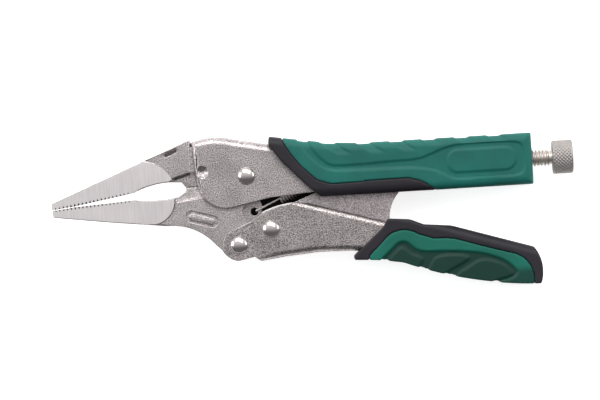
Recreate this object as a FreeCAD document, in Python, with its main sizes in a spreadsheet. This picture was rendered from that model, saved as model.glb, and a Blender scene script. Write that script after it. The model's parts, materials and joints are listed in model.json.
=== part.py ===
"""Long-nose locking pliers, 9 inch class, built piece by piece as a parametric document.

Design frame: the jaw pivot is the origin, +X runs back along the adjusting screw to its knob,
+Y points from the lower handle to the upper one and +Z is across the sheet metal, up from the
bench that the closed tool lies on. The last step moves every piece to the stored frame, whose
origin is the bottom centre of the whole tool.
"""
import FreeCAD
import Part
import Sketcher
import math
import os
import re

V = FreeCAD.Vector

# Every driving dimension, in millimetres (degrees for the one angle).
SIZES = {
    # pivots of the toggle linkage; the jaw pivot is the origin
    "handle_pivot_x": -5.0,
    "handle_pivot_y": -29.8,
    "link_pivot_x": 9.35,
    "link_pivot_y": -23.67,
    "screw_tip_x": 66.0,
    "nose_gap": 2.3,
    # pressed sheet-metal handles
    "channel_width": 14.0,
    "channel_sheet": 2.0,
    "channel_bend": 3.4,
    "lower_sheet": 1.8,
    "ear_joggle": 1.0,
    "ear_round": 7.0,
    "lower_bend": 3.0,
    "stake_x": -19.3,
    "stake_y": 2.7,
    "stake_round": 2.7,
    "stake_depth": 1.3,
    "tab_front_x": 46.5,
    "tab_half": 2.0,
    # forged jaws
    "tip_x": -85.6,
    "jaw_gap": 0.3,
    "pad_rise": 0.7,
    "tip_half": 2.8,
    "cutter_half": 3.6,
    "tooth_pitch": 1.7,
    "tooth_depth": 0.95,
    "ear_radius": 8.7,
    "ear_gap": 0.4,
    "lug_half": 2.0,
    "hook_hole_x": 2.5,
    "hook_hole_y": -15.8,
    "hook_hole_radius": 1.6,
    "oval_depth": 0.7,
    # rivets
    "rivet_shank": 2.6,
    "rivet_head": 3.85,
    "rivet_dome": 1.9,
    "running_gap": 0.06,
    # toggle link
    "link_gap": 0.4,
    "link_sheet": 2.0,
    "link_boss": 4.6,
    # return spring
    "wire_radius": 0.45,
    "leg_radius": 0.465,  # the straight legs, a hair thicker so that each joint is clean
    "hook_gap": 0.12,
    "coil_radius": 2.15,
    "coil_pitch": 1.3,
    "coil_turns": 23.0,
    "spring_angle": 21.0,
    "spring_start_x": 14.0,
    "spring_start_y": -10.5,
    # adjusting screw, its knob and the threaded barrel, placed from the grip's rear face
    "screw_radius": 3.7,
    "screw_stand_out": 9.1,
    "neck_radius": 3.0,
    "neck_length": 1.4,
    "spigot_radius": 2.5,
    "spigot_length": 7.3,
    "knob_length": 9.0,
    "knob_radius": 7.45,
    "knob_edge": 0.9,
    "barrel_radius": 6.4,
    "barrel_length": 18.6,
    # moulded grips
    "grip_rear_x": 124.6,
    "grip_edge": 3.4,
    "core_wall": 1.4,
    "soft_skin": 1.8,
    "rear_wall": 3.6,
    # where the stored frame's origin lies, measured from the finished pieces
    "frame_x": 0.0,
    "frame_y": 0.0,
    "frame_z": 0.0,
}
TOOTH_COUNT = 20
OVER = 12.0  # how far a cutting outline runs past the metal it cuts

doc = FreeCAD.newDocument("locking_pliers")
sheet = doc.addObject("Spreadsheet::Sheet", "Sizes")
for row, (word, value) in enumerate(SIZES.items(), start=1):
    sheet.set(f"A{row}", word)
    sheet.set(f"B{row}", str(value))
    sheet.setAlias(f"B{row}", word)
doc.recompute()


# ---- helpers ----------------------------------------------------------------------------------

def number(entry):
    """The present value of a number or of an expression in the sheet's words."""
    return float(sheet.evalExpression(entry)) if isinstance(entry, str) else float(entry)


def bound(text):
    """The same expression with each of the sheet's words written as another object needs it."""
    return re.sub(r"[a-z]+(?:_[a-z]+)+", lambda found: "Sizes." + found.group(), text)


def bind(target, prop, entry):
    """Set a property to a number, or bind it to an expression in the sheet's words."""
    if isinstance(entry, str):
        target.setExpression(prop, bound(entry))
    else:
        setattr(target, prop, entry)


def round_about(radius, degrees, x="0", y="0"):
    """The point at an angle on a circle, as two expressions."""
    return (f"({x}) + ({radius}) * cos({degrees})", f"({y}) + ({radius}) * sin({degrees})")


def arc(middle, end):
    """One arc of an outline, through its middle point to its end point."""
    return ("arc", middle, end)


def new_body(name):
    body = doc.addObject("PartDesign::Body", name)
    body.Label = name
    return body


def origin_plane(body, role):
    return next(each for each in body.Origin.OriginFeatures if each.Role == role)


def new_sketch(body, name, plane="XY_Plane", offset=None):
    sketch = body.newObject("Sketcher::SketchObject", name)
    sketch.AttachmentSupport = [(origin_plane(body, plane), "")]
    sketch.MapMode = "FlatFace"
    if offset is not None:
        bind(sketch, "AttachmentOffset.Base.z", offset)
    return sketch


def constrain(sketch, kind, place, entry):
    """Fix one measure of a sketch, bound to the sheet where it is an expression."""
    index = sketch.addConstraint(Sketcher.Constraint(kind, *place, number(entry)))
    if isinstance(entry, str):
        sketch.setExpression(f"Constraints[{index}]", bound(entry))


def add_outline(sketch, points):
    """A closed outline; each entry is (x, y) or arc(middle, end), each coordinate a number or an
    expression. Arcs are stored counter-clockwise, so a clockwise one is entered reversed."""
    ends = [entry[2] if entry[0] == "arc" else entry for entry in points]
    here = [V(number(x), number(y), 0) for x, y in ends]
    sides = []
    for index, entry in enumerate(points):
        start, end = here[index - 1], here[index]
        first, last = 1, 2
        if entry[0] == "arc":
            middle = V(number(entry[1][0]), number(entry[1][1]), 0)
            turn = (middle - start).cross(end - middle).z
            if turn > 0:
                curve = Part.Arc(start, middle, end)
            else:
                curve = Part.Arc(end, middle, start)
                first, last = 2, 1
        else:
            curve = Part.LineSegment(start, end)
        side = sketch.addGeometry(curve, False)
        if entry[0] == "arc":
            constrain(sketch, "Radius", (side,), sketch.Geometry[side].Radius)
        sides.append((side, first, last))
    for index, (side, first, last) in enumerate(sides):
        following, its_first, _ = sides[(index + 1) % len(sides)]
        sketch.addConstraint(Sketcher.Constraint("Coincident", side, last, following, its_first))
        constrain(sketch, "DistanceX", (side, last), ends[index][0])
        constrain(sketch, "DistanceY", (side, last), ends[index][1])


def add_circle(sketch, centre, radius):
    circle = Part.Circle(V(number(centre[0]), number(centre[1]), 0), V(0, 0, 1), number(radius))
    side = sketch.addGeometry(circle, False)
    constrain(sketch, "Radius", (side,), radius)
    constrain(sketch, "DistanceX", (side, 3), centre[0])
    constrain(sketch, "DistanceY", (side, 3), centre[1])


def extrude(body, name, points, width, kind="Pad", plane="XY_Plane"):
    """A pad or pocket of one closed outline, symmetric about its plane."""
    sketch = new_sketch(body, name + "_sketch", plane)
    add_outline(sketch, points)
    return extrude_sketch(body, name, sketch, width, kind)


def extrude_sketch(body, name, sketch, width, kind="Pad"):
    feature = body.newObject("PartDesign::" + kind, name)
    feature.Profile = sketch
    feature.SideType = "Symmetric"
    bind(feature, "Length", width)
    return feature


def drill(body, name, centre, radius):
    """A round hole right through, along Z."""
    sketch = new_sketch(body, name + "_sketch")
    add_circle(sketch, centre, radius)
    return extrude_sketch(body, name, sketch, 4 * OVER, "Pocket")


def disc(body, name, centre, radius, width):
    sketch = new_sketch(body, name + "_sketch")
    add_circle(sketch, centre, radius)
    return extrude_sketch(body, name, sketch, width)


def face_recess(body, name, points, half, depth):
    """A shallow recess in both side faces of a flat piece."""
    sketch = new_sketch(body, name + "_sketch", offset=half)
    add_outline(sketch, points)
    pocket = body.newObject("PartDesign::Pocket", name)
    pocket.Profile = sketch
    bind(pocket, "Length", depth)
    doc.recompute()
    other = body.newObject("PartDesign::Mirrored", name + "_other_side")
    other.Originals = [pocket]
    other.MirrorPlane = (origin_plane(body, "XY_Plane"), [""])
    body.Tip = other
    return other


def revolve(body, name, points, axis, plane="XY_Plane"):
    """A turned solid about its sketch's H_Axis or V_Axis."""
    sketch = new_sketch(body, name + "_sketch", plane)
    add_outline(sketch, points)
    feature = body.newObject("PartDesign::Revolution", name)
    feature.Profile = sketch
    feature.ReferenceAxis = (sketch, [axis])
    feature.Angle = 360
    return feature


def round_edges(body, name, radius, wanted):
    """Round every edge of the body so far that wanted(edge) picks."""
    doc.recompute()
    base = body.Tip
    names = [f"Edge{i}" for i, edge in enumerate(base.Shape.Edges, start=1) if wanted(edge)]
    feature = body.newObject("PartDesign::Fillet", name)
    feature.Base = (base, names)
    bind(feature, "Radius", radius)
    return feature


def side_edge(edge, half):
    """True for an edge that lies in one of the two side faces at z = half and -half."""
    return all(abs(abs(point.z) - half) < 1e-4
               for point in [edge.CenterOfMass] + [vertex.Point for vertex in edge.Vertexes])


def slot_outline(start, end, radius):
    """A round-ended slot about a centre line, each end in two quarter arcs."""
    along = math.degrees(math.atan2(end[1] - start[1], end[0] - start[0]))

    def around(centre, first):
        return [arc(round_about(radius, along + turn - 45, *centre),
                    round_about(radius, along + turn, *centre)) for turn in (first, first + 90)]

    return ([round_about(radius, along - 90, *end)] + around(end, 0)
            + [round_about(radius, along + 90, *start)] + around(start, 180))


# ---- shared shapes ----------------------------------------------------------------------------

CHANNEL_INSIDE = "(channel_width - 2 * channel_sheet)"
CHANNEL_REAR = "(grip_rear_x - rear_wall)"
JAW_HALF = f"({CHANNEL_INSIDE} / 2 - jaw_gap)"
PAD_HALF = f"({JAW_HALF} + pad_rise)"
LOWER_WIDTH = f"({CHANNEL_INSIDE} + 2 * lower_sheet + 2 * ear_joggle)"
LINK_WIDTH = f"({CHANNEL_INSIDE} - 2 * link_gap)"
CORE_HALF = f"({LOWER_WIDTH} / 2 + core_wall)"
GRIP_HALF = f"({CORE_HALF} + soft_skin)"
BARREL_FRONT = "(grip_rear_x - barrel_length)"
KNOB_FRONT = "(grip_rear_x + screw_stand_out)"
KNOB_REAR = f"({KNOB_FRONT} + knob_length)"
SPIGOT_REAR = f"({KNOB_FRONT} + spigot_length)"
HANDLE_PIVOT = ("handle_pivot_x", "handle_pivot_y")
LINK_PIVOT = ("link_pivot_x", "link_pivot_y")
RUNNING_HOLE = "rivet_shank + running_gap"
JAW_WIDTH = f"2 * {JAW_HALF}"

# The mouth edges, front to back: a toothed run that meets the other jaw for its first part and
# then opens, a hollow run, then the cutter.
UPPER_MOUTH = [("tip_x", -9.85), ("tip_x + 9.9", -8.8), (-50.0, -4.6), arc((-41.0, -1.55), (-34.0, -0.75))]
LOWER_MOUTH = [("tip_x", -10.05), ("tip_x + 9.9", -9.0), (-50.0, -7.6), arc((-40.0, -8.3), (-31.6, -7.7))]


def channel_top(less="0"):
    """The upper channel's top edge, front to back, less the sheet's thickness for the inside."""
    return [
        (-23.6, f"15.9 - {less}"),
        arc((-14.8, f"17.7 - {less}"), (-5.0, f"16.4 - {less}")),
        (28.0, f"9.6 - {less}"),
        (CHANNEL_REAR, f"9.2 - {less}"),
    ]


def backwards(points):
    """The same open run of points and arcs from its far end to its near end."""
    ends = [entry[2] if entry[0] == "arc" else entry for entry in points]
    turned = [ends[-1]]
    for index in range(len(points) - 1, 0, -1):
        entry = points[index]
        turned.append(arc(entry[1], ends[index - 1]) if entry[0] == "arc" else ends[index - 1])
    return turned


# ---- upper handle -----------------------------------------------------------------------------

def make_upper_handle():
    """The pressed channel, open below, that carries the fixed jaw and the adjusting screw."""
    body = new_body("upper_handle")
    extrude(body, "channel_side", channel_top() + [
        (CHANNEL_REAR, -8.6),
        (29.5, -8.6),
        (10.0, -10.1),
        (-5.0, -13.0),
        arc((-16.2, -11.3), (-21.3, -4.0)),
        (-22.7, 3.5),
    ], "channel_width")
    half = number("channel_width / 2")
    round_edges(body, "channel_bend_round", "channel_bend",
                lambda edge: side_edge(edge, half) and edge.CenterOfMass.y > 9.0)
    inside = channel_top("channel_sheet")
    inside[0] = (-23.6 - OVER, inside[0][1])
    inside.insert(1, (-23.6, inside[0][1]))
    inside[-1] = (f"{CHANNEL_REAR} + {OVER}", inside[-1][1])
    extrude(body, "channel_hollow", inside + [
        (f"{CHANNEL_REAR} + {OVER}", -20.0),
        (-23.6 - OVER, -20.0),
    ], CHANNEL_INSIDE, "Pocket")
    # the guard behind the return spring: the far wall reaches down to the closed lower handle
    guard = new_sketch(body, "guard_sketch", offset="(channel_sheet - channel_width) / 2")
    add_outline(guard, [
        (0.5, -11.0), (0.5, -19.3), (4.8, -16.6), arc((17.0, -13.0), (27.9, -13.2)),
        (31.0, -14.1), (31.0, -8.0),
    ])
    extrude_sketch(body, "spring_guard", guard, "channel_sheet")
    drill(body, "jaw_rivet_hole", (0.0, 0.0), "rivet_shank")
    # the stakes that lock the fixed jaw: a round dent in each side wall
    for side in (1, -1):
        dent = body.newObject("PartDesign::SubtractiveSphere", f"stake_{'a' if side > 0 else 'b'}")
        ball = "(stake_round ^ 2 + stake_depth ^ 2) / (2 * stake_depth)"
        bind(dent, "Radius", ball)
        bind(dent, "AttachmentOffset.Base.x", "stake_x")
        bind(dent, "AttachmentOffset.Base.y", "stake_y")
        bind(dent, "AttachmentOffset.Base.z", f"{side} * (channel_width / 2 - stake_depth + {ball})")
        dent.AttachmentSupport = [(origin_plane(body, "XY_Plane"), "")]
        dent.MapMode = "FlatFace"
    # the lanced tab that holds the return spring, with a window for its hook
    extrude(body, "spring_tab", [
        ("tab_front_x", 0.9),
        ("tab_front_x + channel_sheet", 0.9),
        ("tab_front_x + channel_sheet", 8.4),
        ("tab_front_x", 8.4),
    ], "2 * tab_half")
    extrude(body, "spring_tab_window", [
        ("tab_front_x - 1", 1.45),
        ("tab_front_x + channel_sheet + 1", 1.45),
        ("tab_front_x + channel_sheet + 1", 3.45),
        ("tab_front_x - 1", 3.45),
    ], "2 * leg_radius + 0.2", "Pocket")
    # the threaded barrel at the rear
    revolve(body, "barrel", [
        (BARREL_FRONT, "screw_radius + running_gap"),
        ("grip_rear_x + 0.2", "screw_radius + running_gap"),
        ("grip_rear_x + 0.2", "barrel_radius"),
        (BARREL_FRONT, "barrel_radius"),
    ], "H_Axis")
    return body


# ---- jaws -------------------------------------------------------------------------------------

def taper_nose(body):
    """Cut both side faces of a jaw so that it narrows towards its tip."""
    sketch = new_sketch(body, "nose_taper_sketch", "XZ_Plane")
    for side in (1, -1):
        add_outline(sketch, [
            ("tip_x - 1", f"{side} * tip_half"),
            (-32.0, f"{side} * {PAD_HALF}"),
            (-32.0, side * 9.0),
            ("tip_x - 1", side * 9.0),
        ])
    extrude_sketch(body, "nose_taper", sketch, 120.0, "Pocket")


def cut_teeth(body, front, rear, inward):
    """V grooves across the straight run of a mouth edge, from its front to its rear point."""
    run = math.hypot(rear[0] - front[0], rear[1] - front[1])
    along = V((rear[0] - front[0]) / run, (rear[1] - front[1]) / run, 0)
    across = V(-along.y, along.x, 0) * inward
    sketch = new_sketch(body, "teeth_sketch")
    pitch, depth = number("tooth_pitch"), number("tooth_depth")
    tooth_share = 0.36  # half of each notch's width, as a share of the pitch
    for index in range(TOOTH_COUNT):
        middle = V(front[0], front[1], 0) + along * pitch * (index + 1)
        bottom = middle + across * depth
        mouth = middle - across * 0.6
        width = along * pitch * tooth_share
        add_outline(sketch, [
            (mouth.x - width.x, mouth.y - width.y),
            (mouth.x + width.x, mouth.y + width.y),
            (bottom.x, bottom.y),
        ])
    extrude_sketch(body, "teeth", sketch, 4 * OVER, "Pocket")


def thin_cutter(body, points):
    """Thin the wire cutter behind the mouth from both sides, down to its own thickness."""
    for side, letter in ((1, "a"), (-1, "b")):
        sketch = new_sketch(body, f"cutter_sketch_{letter}",
                            offset=f"{side} * (cutter_half + {OVER} / 2)")
        add_outline(sketch, points)
        extrude_sketch(body, f"cutter_relief_{letter}", sketch, OVER, "Pocket")


def make_upper_jaw():
    """The fixed jaw: a forging whose tang fills the front of the channel."""
    body = new_body("upper_jaw")
    extrude(body, "forging", UPPER_MOUTH + [
        (-28.3, -1.1),
        (-26.7, -3.5),
        (-24.2, -3.5),
        (-22.95, 3.5),
        (-23.8, 16.9),
        (-25.3, 16.7),
        ("tip_x", -7.0),
    ], JAW_WIDTH)
    extrude(body, "nose_pad", UPPER_MOUTH + [
        (-32.4, 0.3),
        arc((-36.3, 5.6), (-44.3, 9.2)),
        ("tip_x", -7.0),
    ], f"2 * {PAD_HALF}")
    taper_nose(body)
    tang_round = "ear_radius + ear_gap"
    tang = channel_top("channel_sheet")[:2]
    extrude(body, "tang", [(-24.7, 16.85), (-23.75, 17.0), (-23.75, "15.9 - channel_sheet")] + tang + [
        (6.5, "14.03 - channel_sheet"),
        round_about(tang_round, 45),
        arc(round_about(tang_round, 120), round_about(tang_round, 202.6)),
        (-24.7, -3.5),
    ], CHANNEL_INSIDE)
    thin_cutter(body, [(-32.6, 0.3), (-19.3, 4.2), (-15.5, 4.2), (-15.5, -8.0), (-33.5, -8.0)])
    face_recess(body, "short_slot", slot_outline((-34.9, 10.9), (-30.1, 12.9), 0.8), JAW_HALF, 0.6)
    cut_teeth(body, (number("tip_x"), -9.85), (-50.0, -4.6), 1)
    return body


def make_lower_jaw():
    """The moving jaw: nose, wire cutter, pivot ear, spring lug and handle lug in one forging."""
    body = new_body("lower_jaw")
    x, y = HANDLE_PIVOT
    extrude(body, "forging", [
        ("tip_x + 0.4", -13.2),
        (-60.0, -16.8),
        (-36.0, -19.8),
        arc((-23.0, -22.7), (-15.0, -29.3)),
        (-12.5, -31.7),
        arc((-10.2, -34.8), round_about(6.8, -90, x, y)),
        arc(round_about(6.8, -20, x, y), round_about(6.8, 40, x, y)),
        (-0.8, -19.6),
        (-2.7, -16.6),
        (-2.8, -14.8),
        (-1.2, -13.0),
        round_about("ear_radius", -60),
        arc(round_about("ear_radius", 70), round_about("ear_radius", 204.2)),
        (-26.8, -3.57),
        (-26.7, -5.3),
        (-30.0, -7.3),
        (-31.6, -7.7),
    ] + backwards(LOWER_MOUTH)[1:], JAW_WIDTH)
    extrude(body, "nose_pad", LOWER_MOUTH + [
        arc((-33.4, -14.3), (-40.8, -19.0)),
        (-60.0, -16.6),
        ("tip_x + 0.4", -13.0),
    ], f"2 * {PAD_HALF}")
    taper_nose(body)
    thin_cutter(body, [(-31.2, -7.5), (-30.5, -9.6), (-17.5, -7.9), (-15.5, -3.0), (-33.5, -3.0)])
    extrude(body, "spring_lug", [
        (-4.0, -9.0), (3.5, -8.5), (5.4, -11.3), (6.2, -13.5), (5.6, -16.6), (2.8, -19.8),
        (-4.0, -22.0),
    ], "2 * lug_half")
    drill(body, "hook_hole", ("hook_hole_x", "hook_hole_y"), "hook_hole_radius")
    drill(body, "jaw_rivet_hole", (0.0, 0.0), RUNNING_HOLE)
    drill(body, "handle_rivet_hole", HANDLE_PIVOT, RUNNING_HOLE)
    face_recess(body, "oval", slot_outline((-25.0, -16.3), (-16.0, -19.0), 2.4), JAW_HALF, "oval_depth")
    cut_teeth(body, (number("tip_x"), -10.05), (-50.0, -7.6), -1)
    return body


# ---- lower handle and toggle link -------------------------------------------------------------

LOWER_TOP = [(59.8, -23.2), (66.0, -24.6), (84.0, -29.9), (100.0, -33.9), (117.0, -40.0)]
LOWER_BOTTOM = [(4.2, -37.5), (15.0, -36.1), (30.0, -35.0), (46.0, -35.7), (60.0, -37.6),
                (84.0, -44.5), (116.0, -50.6)]


def make_lower_handle():
    """The pressed channel, open above, whose ears step inward to straddle the moving jaw."""
    body = new_body("lower_handle")
    x, y = HANDLE_PIVOT
    extrude(body, "channel_side", [(1.5, -35.4)] + LOWER_BOTTOM + backwards(LOWER_TOP) + [
        (28.0, -13.6),
        arc((17.0, -13.4), (5.0, -17.0)),
        (0.3, -19.9),
        round_about("ear_round", 120, x, y),
        arc(round_about("ear_round", 190, x, y), round_about("ear_round", 270, x, y)),
    ], LOWER_WIDTH)
    half = number(f"{LOWER_WIDTH} / 2")
    round_edges(body, "lower_bend_round", "lower_bend",
                lambda edge: side_edge(edge, half) and edge.CenterOfMass.y < -34.5
                and edge.CenterOfMass.x > 4.2)
    hollow = f"({LOWER_WIDTH} / 2 - lower_sheet)"
    sketch = new_sketch(body, "hollow_sketch", "XZ_Plane")
    add_outline(sketch, [
        (-12.0 - OVER, f"-{hollow} + ear_joggle"),
        (1.0, f"-{hollow} + ear_joggle"),
        (4.5, f"-{hollow}"),
        (117.0 + OVER, f"-{hollow}"),
        (117.0 + OVER, hollow),
        (4.5, hollow),
        (1.0, f"{hollow} - ear_joggle"),
        (-12.0 - OVER, f"{hollow} - ear_joggle"),
    ])
    extrude_sketch(body, "hollow", sketch, 160.0, "Pocket")
    sketch = new_sketch(body, "joggle_sketch", "XZ_Plane")
    for side in (1, -1):
        add_outline(sketch, [
            (-12.0 - OVER, f"{side} * ({LOWER_WIDTH} / 2 - ear_joggle)"),
            (1.0, f"{side} * ({LOWER_WIDTH} / 2 - ear_joggle)"),
            (4.5, f"{side} * {LOWER_WIDTH} / 2"),
            (4.5, f"{side} * ({LOWER_WIDTH} / 2 + 2)"),
            (-12.0 - OVER, f"{side} * ({LOWER_WIDTH} / 2 + 2)"),
        ])
    extrude_sketch(body, "joggle", sketch, 160.0, "Pocket")
    # the channel's floor
    floor = [(px + 0.1, f"{py} + lower_sheet") for px, py in LOWER_BOTTOM]
    extrude(body, "floor", LOWER_BOTTOM + floor[::-1], f"2 * {hollow}")
    drill(body, "handle_rivet_hole", HANDLE_PIVOT, "rivet_shank")
    drill(body, "link_rivet_hole", LINK_PIVOT, "rivet_shank")
    return body


def make_toggle_link():
    """The wide pressed link that props the lower handle against the adjusting screw."""
    body = new_body("toggle_link")
    x, y = LINK_PIVOT
    nose = "screw_tip_x - nose_gap"
    extrude(body, "plate", [
        round_about(6.2, 113, x, y),
        arc(round_about(6.2, 190, x, y), round_about(6.2, 270, x, y)),
        (16.0, -30.6),
        (58.5, -25.2),
        (61.2, -22.6),
        arc((62.2, -17.0), (65.9, -11.2)),
        (64.0, -6.5),
        (62.9, -3.8),
        (nose, -0.8),
        arc((61.6, 2.4), (54.0, 1.0)),
    ], LINK_WIDTH)
    extrude(body, "hollow", [
        (17.5, -18.0), (20.5, -15.2), (52.0, -1.8), (55.0, -9.0), (70.0, -14.0), (70.0, -40.0),
        (17.5, -40.0),
    ], f"{LINK_WIDTH} - 2 * link_sheet", "Pocket")
    disc(body, "boss", LINK_PIVOT, "link_boss", f"{LOWER_WIDTH} - 2 * lower_sheet - 2 * jaw_gap")
    drill(body, "link_rivet_hole", LINK_PIVOT, RUNNING_HOLE)
    return body


# ---- rivets, screw and spring -----------------------------------------------------------------

def make_rivet(name, centre, clamped):
    """A dome-headed rivet along Z; clamped is the width between its two heads."""
    body = new_body(name)
    half = f"({clamped}) / 2"
    head, dome = number("rivet_head"), number("rivet_dome")
    ball = (head ** 2 + dome ** 2) / (2 * dome)
    lean = math.asin(head / ball) / 2
    mid_x = ball * math.sin(lean)
    mid_rise = ball * math.cos(lean) - (ball - dome)
    revolve(body, "turned", [
        (0.0, f"-{half} - rivet_dome"),
        arc((mid_x, f"-{half} - {mid_rise}"), ("rivet_head", f"-{half}")),
        ("rivet_shank", f"-{half}"),
        ("rivet_shank", half),
        ("rivet_head", half),
        arc((mid_x, f"{half} + {mid_rise}"), (0.0, f"{half} + rivet_dome")),
    ], "V_Axis", "XZ_Plane")
    return body, centre


def make_screw():
    """The adjusting screw's shank; its thread is a cylinder at crest diameter."""
    body = new_body("adjusting_screw")
    shoulder = f"{KNOB_FRONT} - 0.05"
    neck = f"{KNOB_FRONT} - neck_length"
    revolve(body, "turned", [
        ("screw_tip_x", 0.0),
        (SPIGOT_REAR, 0.0),
        (SPIGOT_REAR, "spigot_radius"),
        (shoulder, "spigot_radius"),
        (shoulder, "neck_radius"),
        (f"{neck} + 0.5", "neck_radius"),
        (neck, "screw_radius"),
        ("screw_tip_x + 2", "screw_radius"),
        ("screw_tip_x + 0.6", "0.6 * screw_radius"),
    ], "H_Axis")
    return body


def make_knob():
    body = new_body("screw_knob")
    bore = "spigot_radius + running_gap"
    revolve(body, "turned", [
        (KNOB_FRONT, bore),
        (f"{SPIGOT_REAR} + 0.1", bore),
        (f"{SPIGOT_REAR} + 0.1", 0.0),
        (KNOB_REAR, 0.0),
        (KNOB_REAR, "knob_radius - knob_edge"),
        (f"{KNOB_REAR} - knob_edge", "knob_radius"),
        (f"{KNOB_FRONT} + knob_edge", "knob_radius"),
        (KNOB_FRONT, "knob_radius - knob_edge"),
    ], "H_Axis")
    return body


def wire_run(points, radius):
    """Wire through a few points, with a round joint at each."""
    run = Part.makeSphere(radius, points[0])
    for start, end in zip(points, points[1:]):
        run = run.fuse(Part.makeCylinder(radius, (end - start).Length, start, end - start))
        run = run.fuse(Part.makeSphere(radius, end))
    return run


def make_spring():
    """The return spring: a close coil with a hook in the jaw's lug and a cross hook at the tab."""
    wire, leg, coil = number("wire_radius"), number("leg_radius"), number("coil_radius")
    length = number("coil_pitch") * number("coil_turns")
    lean = math.radians(number("spring_angle"))
    along = V(math.cos(lean), math.sin(lean), 0)
    start = V(number("spring_start_x"), number("spring_start_y"), 0)
    path = Part.makeHelix(number("coil_pitch"), length, coil)
    profile = Part.Wire(Part.makeCircle(wire, V(coil, 0, 0), V(0, 1, 0)))
    coils = Part.Wire(path).makePipeShell([profile], True, True)
    # the helix axis is turned from Z to the spring's line, its ends to the upper side
    coils.Placement = FreeCAD.Placement(start, FreeCAD.Rotation(V(0, 0, 1), V(-along.y, along.x, 0), along))
    lift = V(0, 0, coil)
    seat = number("hook_hole_radius") - leg - number("hook_gap")
    hook = V(number("hook_hole_x"), number("hook_hole_y"), 0)
    pull = (start - hook).normalize()
    over_lug = V(0, 0, number("lug_half + hook_gap") + leg)
    hook = hook + pull * seat
    rear = start + along * length
    cross_x = number("tab_front_x + channel_sheet") + leg + 0.02
    cross = V(cross_x, start.y + (cross_x - start.x) * math.tan(lean), 0)
    into_tab = cross - along * 4.5
    side = V(0, 0, 1.6)
    front_hook = wire_run([start + lift, hook + over_lug, hook - over_lug], leg)
    rear_leg = wire_run([rear + lift, into_tab, cross], leg)
    cross_bar = wire_run([cross - side, cross + side], leg)
    spring = coils.fuse(front_hook).fuse(rear_leg.fuse(cross_bar))
    node = doc.addObject("Part::Feature", "return_spring")
    node.Label = "return_spring"
    node.Shape = spring
    return node


# ---- grips ------------------------------------------------------------------------------------

def grip_blank(name, points, width, rounded=None):
    """A plain block that a grip's booleans use: its side outline at one width."""
    body = new_body(name)
    extrude(body, "side", points, width)
    if rounded is not None:
        half = number(width) / 2
        round_edges(body, "soft_edges", "grip_edge",
                    lambda edge: side_edge(edge, half) and rounded(edge))
    return body


def boolean(kind, name, base, tool):
    result = doc.addObject("Part::" + kind, name)
    result.Base, result.Tool = base, tool
    result.Label = name
    return result


def make_grip(prefix, whole, green, core, room):
    """A grip moulded in two shots: a black base over the metal and a green cover on it."""
    soft = boolean("Common", prefix + "_soft_region", whole, green)
    shell = boolean("Cut", prefix + "_soft_shell", soft, core)
    cover = boolean("Cut", prefix + "_cover", shell, room)
    bare = boolean("Cut", prefix + "_bare_region", whole, green)
    inner = boolean("Common", prefix + "_inner", whole, core)
    solid = boolean("Fuse", prefix + "_solid_base", bare, inner)
    base = boolean("Cut", prefix + "_base", solid, room)
    return base, cover


def make_upper_grip():
    whole = grip_blank("upper_grip_block", [
        (31.5, -10.9), (60.0, -11.1), ("grip_rear_x", -11.1), ("grip_rear_x", 11.4),
        (50.0, 11.4), (35.0, 12.5), (10.6, 16.6), (10.2, 13.2), (15.0, 6.0), (25.0, -4.8),
    ], f"2 * {GRIP_HALF}", lambda edge: edge.CenterOfMass.x > 11.0 and edge.Length > 15.5)
    green = grip_blank("upper_grip_soft_block", [
        (16.0, 20.0), (16.6, 14.0), arc((22.5, 4.7), (31.0, -3.8)), (37.0, -5.8),
        (60.0, -5.1), (70.0, -5.0), (76.0, -6.8), (82.5, -11.3), (82.5, -16.0),
        ("grip_rear_x + 5", -16.0), ("grip_rear_x + 5", 20.0),
    ], f"2 * {GRIP_HALF} + 4")
    core = grip_blank("upper_grip_core_block", [
        (0.0, 16.8), (12.0, 14.8), (35.0, 10.9), (50.0, 10.2), ("grip_rear_x - 1.7", 10.2),
        ("grip_rear_x - 1.7", -9.9), (0.0, -9.9),
    ], f"2 * {CORE_HALF}")
    room = new_body("upper_grip_room")
    extrude(room, "around_channel", [
        (-5.0, 16.4), (28.0, 9.6), (CHANNEL_REAR, 9.2), (CHANNEL_REAR, -8.6),
        (76.0, -8.6), (76.0, -20.0), (-5.0, -20.0),
    ], "channel_width")
    revolve(room, "around_barrel", [
        (BARREL_FRONT, 0.0), ("grip_rear_x + 5", 0.0),
        ("grip_rear_x + 5", "barrel_radius"), (BARREL_FRONT, "barrel_radius"),
    ], "H_Axis")
    return make_grip("upper_grip", whole, green, core, room)


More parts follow.
